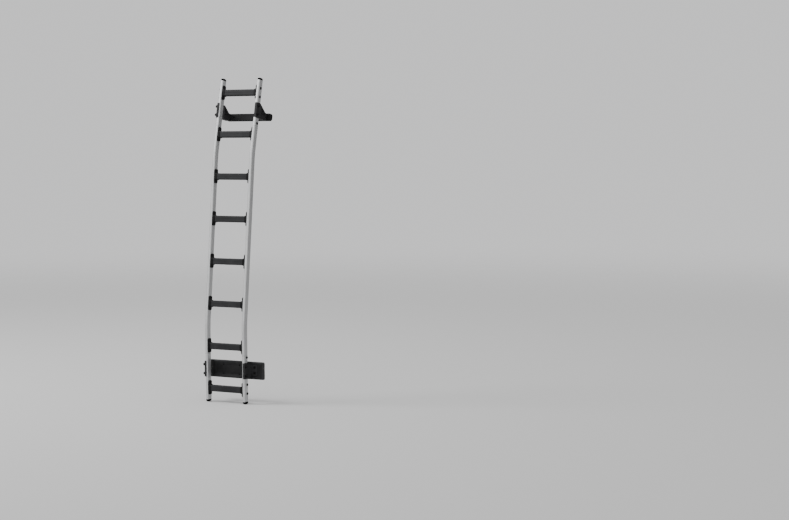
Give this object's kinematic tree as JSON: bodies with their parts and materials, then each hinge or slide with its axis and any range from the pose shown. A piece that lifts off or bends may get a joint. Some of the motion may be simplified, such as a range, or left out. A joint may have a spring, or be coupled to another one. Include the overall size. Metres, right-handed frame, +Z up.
{
  "type": "van rear door ladder",
  "caption": "Fixed access ladder for a van's rear door: bent aluminium stiles, black ribbed rungs in T-shaped end brackets, a crossbar on gussets at the top and a channel plate below.",
  "frame": {"origin": "centre of the fixing pattern on the back of the lower pad, midway between the stiles", "axes": "+X to the right seen by a climber, +Y into the door, +Z up along the ladder"},
  "size_m": [0.43, 0.2975, 1.983],
  "materials": {
    "stile_aluminium": "satin anodised",
    "rung_black": "black powder coat",
    "moulded_black": "fine moulded texture",
    "coated_black": "black powder coat",
    "pad_rubber": "matt rubber"
  },
  "bodies": {
    "root": {"cap_bottom_left": "moulded_black", "cap_bottom_right": "moulded_black", "cap_top_left": "moulded_black", "cap_top_right": "moulded_black", "lower_bracket_left": "coated_black", "lower_bracket_right": "coated_black", "lower_channel_plate": "coated_black", "lower_pad": "pad_rubber", "rung_1": "rung_black", "rung_2": "rung_black", "rung_3": "rung_black", "rung_4": "rung_black", "rung_5": "rung_black", "rung_6": "rung_black", "rung_7": "rung_black", "rung_8": "rung_black", "rung_ends_1": "moulded_black", "rung_ends_2": "moulded_black", "rung_ends_3": "moulded_black", "rung_ends_4": "moulded_black", "rung_ends_5": "moulded_black", "rung_ends_6": "moulded_black", "rung_ends_7": "moulded_black", "rung_ends_8": "moulded_black", "stile_left_bottom": "stile_aluminium", "stile_left_main": "stile_aluminium", "stile_left_top": "stile_aluminium", "stile_right_bottom": "stile_aluminium", "stile_right_main": "stile_aluminium", "stile_right_top": "stile_aluminium", "top_bracket_left": "moulded_black", "top_bracket_right": "moulded_black", "top_crossbar": "coated_black", "top_crossbar_caps": "moulded_black"}
  },
  "joints": []
}
